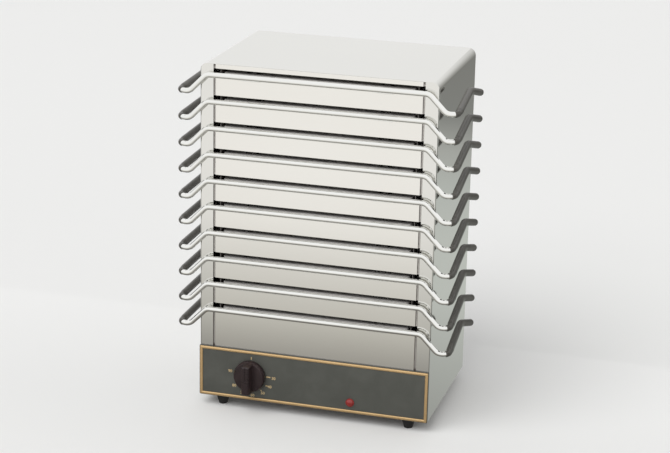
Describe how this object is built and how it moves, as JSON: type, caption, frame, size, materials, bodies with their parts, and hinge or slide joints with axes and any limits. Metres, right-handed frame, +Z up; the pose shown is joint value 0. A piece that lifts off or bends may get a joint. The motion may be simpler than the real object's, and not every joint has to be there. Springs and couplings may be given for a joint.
{
  "type": "plate warmer",
  "caption": "Upright polished steel table plate warmer: aluminium heating plates slide out of a slotted front on bent wire handles with dark grips, above a thermostat panel.",
  "frame": {"origin": "under the middle of the whole object, on the surface that the feet stand on", "axes": "+Z up, +Y from the slotted front to the back, +X to the right as seen from the front"},
  "size_m": [0.396, 0.259, 0.4935],
  "materials": {
    "cover_steel": "polished",
    "front_steel": "mirror polished",
    "sheet_steel": "mill finish",
    "panel_paint": "satin",
    "trim_gold": "gold plated",
    "fastener_steel": "zinc plated",
    "knob_plastic": "semi-gloss",
    "spindle_steel": "turned",
    "ivory_plastic": "matte",
    "bulb_copper": "drawn copper",
    "lens_red": "clear red",
    "element_steel": "heat darkened steel",
    "lead_red": "silicone sleeve",
    "gland_plastic": "moulded",
    "foot_rubber": "moulded",
    "plate_aluminium": "satin",
    "wire_chrome": "bright",
    "grip_plastic": "matte"
  },
  "bodies": {
    "case": {"cover": "cover_steel", "front_panel": "front_steel", "back_panel": "sheet_steel", "base_pan": "sheet_steel", "deck": "sheet_steel", "left_rack": "sheet_steel", "right_rack": "sheet_steel", "control_panel": "panel_paint", "panel_trim": "trim_gold", "panel_nuts": "fastener_steel", "thermostat": "ivory_plastic", "thermostat_screws": "fastener_steel", "sensing_bulb": "bulb_copper", "lamp_lens": "lens_red", "lamp_body": "ivory_plastic", "heating_element": "element_steel", "element_nuts": "fastener_steel", "element_brackets": "sheet_steel", "terminal_block": "ivory_plastic", "lead_wires": "lead_red", "cable_gland": "gland_plastic", "gland_nut": "gland_plastic", "feet": "foot_rubber", "foot_screws": "fastener_steel", "case_screws": "fastener_steel", "back_screws": "fastener_steel"},
    "knob": {"knob": "knob_plastic", "spindle": "spindle_steel"},
    "tray_01": {"plate_01": "plate_aluminium", "handle_01": "wire_chrome", "grips_01": "grip_plastic"},
    "tray_02": {"plate_02": "plate_aluminium", "handle_02": "wire_chrome", "grips_02": "grip_plastic"},
    "tray_03": {"plate_03": "plate_aluminium", "handle_03": "wire_chrome", "grips_03": "grip_plastic"},
    "tray_04": {"plate_04": "plate_aluminium", "handle_04": "wire_chrome", "grips_04": "grip_plastic"},
    "tray_05": {"plate_05": "plate_aluminium", "handle_05": "wire_chrome", "grips_05": "grip_plastic"},
    "tray_06": {"plate_06": "plate_aluminium", "handle_06": "wire_chrome", "grips_06": "grip_plastic"},
    "tray_07": {"plate_07": "plate_aluminium", "handle_07": "wire_chrome", "grips_07": "grip_plastic"},
    "tray_08": {"plate_08": "plate_aluminium", "handle_08": "wire_chrome", "grips_08": "grip_plastic"},
    "tray_09": {"plate_09": "plate_aluminium", "handle_09": "wire_chrome", "grips_09": "grip_plastic"},
    "tray_10": {"plate_10": "plate_aluminium", "handle_10": "wire_chrome", "grips_10": "grip_plastic"}
  },
  "joints": [
    {"name": "knob_turn", "type": "hinge", "parent": "case", "child": "knob", "pos_m": [-0.09, -0.12, 0.0525], "axis": [0, 1, 0], "range_deg": [0, 265]},
    {"name": "tray_01_slide", "type": "slide", "parent": "case", "child": "tray_01", "axis": [0, -1, 0], "range_m": [0, 0.21]},
    {"name": "tray_02_slide", "type": "slide", "parent": "case", "child": "tray_02", "axis": [0, -1, 0], "range_m": [0, 0.21]},
    {"name": "tray_03_slide", "type": "slide", "parent": "case", "child": "tray_03", "axis": [0, -1, 0], "range_m": [0, 0.21]},
    {"name": "tray_04_slide", "type": "slide", "parent": "case", "child": "tray_04", "axis": [0, -1, 0], "range_m": [0, 0.21]},
    {"name": "tray_05_slide", "type": "slide", "parent": "case", "child": "tray_05", "axis": [0, -1, 0], "range_m": [0, 0.21]},
    {"name": "tray_06_slide", "type": "slide", "parent": "case", "child": "tray_06", "axis": [0, -1, 0], "range_m": [0, 0.21]},
    {"name": "tray_07_slide", "type": "slide", "parent": "case", "child": "tray_07", "axis": [0, -1, 0], "range_m": [0, 0.21]},
    {"name": "tray_08_slide", "type": "slide", "parent": "case", "child": "tray_08", "axis": [0, -1, 0], "range_m": [0, 0.21]},
    {"name": "tray_09_slide", "type": "slide", "parent": "case", "child": "tray_09", "axis": [0, -1, 0], "range_m": [0, 0.21]},
    {"name": "tray_10_slide", "type": "slide", "parent": "case", "child": "tray_10", "axis": [0, -1, 0], "range_m": [0, 0.21]}
  ]
}
